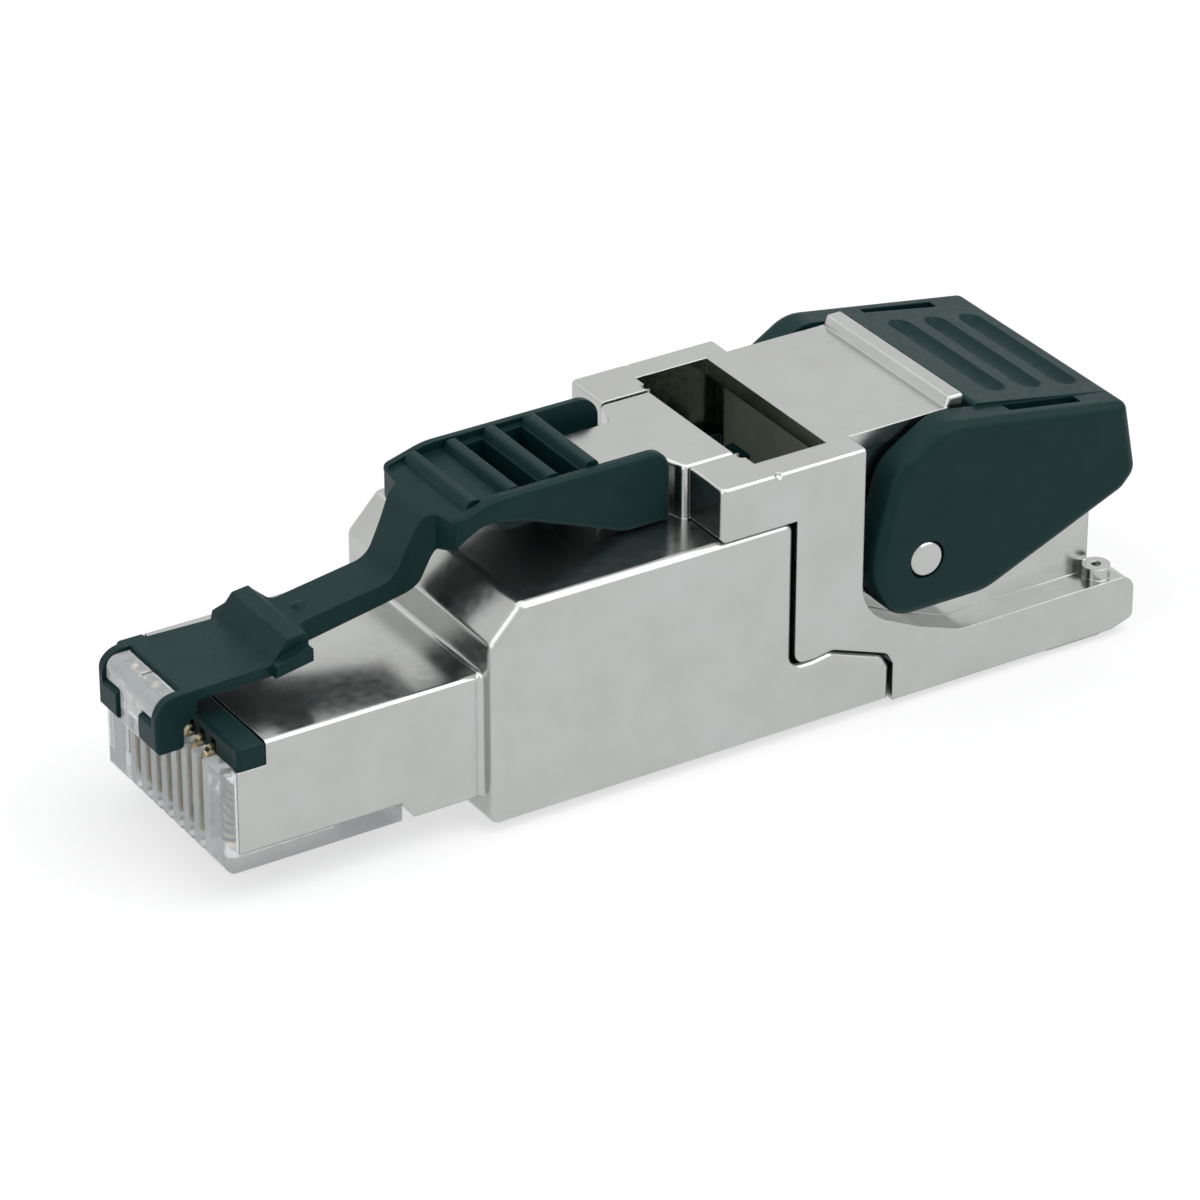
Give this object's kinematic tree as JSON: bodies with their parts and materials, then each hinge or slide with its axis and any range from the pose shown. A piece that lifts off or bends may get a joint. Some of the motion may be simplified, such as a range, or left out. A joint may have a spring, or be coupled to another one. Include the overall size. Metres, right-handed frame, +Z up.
{
  "type": "field termination ethernet plug",
  "caption": "Metal modular plug for field wiring, with a clear nose, a black latch lever and a black cable clamp lever on a slide-on rear housing.",
  "frame": {"origin": "middle of the bounding box's underside", "axes": "+X from the plug's nose to its cable end, +Y across, +Z up towards the latch"},
  "size_m": [0.0516, 0.0144, 0.0156],
  "materials": {
    "nickel_plating": "satin nickel plating on a zinc casting",
    "black_plastic": "fine matt moulded plastic",
    "clear_plastic": "clear moulded polycarbonate",
    "gold_plating": "gold-plated spring wire",
    "board_green": "solder mask",
    "spring_metal": "tinned spring metal"
  },
  "bodies": {
    "housing": {"front_housing": "nickel_plating", "contact_carrier": "clear_plastic", "contact_comb": "black_plastic", "circuit_board": "board_green", "idc_block": "black_plastic", "wire_manager": "black_plastic", "latch_tongue": "clear_plastic", "contact_1": "gold_plating", "contact_2": "gold_plating", "contact_3": "gold_plating", "contact_4": "gold_plating", "contact_5": "gold_plating", "contact_6": "gold_plating", "contact_7": "gold_plating", "contact_8": "gold_plating", "idc_blade_1": "spring_metal", "idc_blade_2": "spring_metal", "idc_blade_3": "spring_metal", "idc_blade_4": "spring_metal", "idc_blade_5": "spring_metal", "idc_blade_6": "spring_metal", "idc_blade_7": "spring_metal", "idc_blade_8": "spring_metal"},
    "latch": {"latch_lever": "black_plastic"},
    "rear": {"rear_housing": "nickel_plating", "shield_spring": "spring_metal"},
    "clamp": {"clamp_lever": "black_plastic"}
  },
  "joints": [
    {"name": "latch_press", "type": "hinge", "parent": "housing", "child": "latch", "pos_m": [-0.00116, 0, 0.01173], "axis": [0, -1, 0], "range_deg": [0, 2.3], "stiffness_Nm_per_rad": 0.01, "springref_deg": -5.73, "deforming": ["latch_tongue"]},
    {"name": "rear_slide", "type": "slide", "parent": "housing", "child": "rear", "axis": [1, 0, 0], "range_m": [0, 0.012]},
    {"name": "clamp_turn", "type": "hinge", "parent": "rear", "child": "clamp", "pos_m": [0.01304, 0, 0.00785], "axis": [0, 1, 0], "range_deg": [0, 22]}
  ]
}
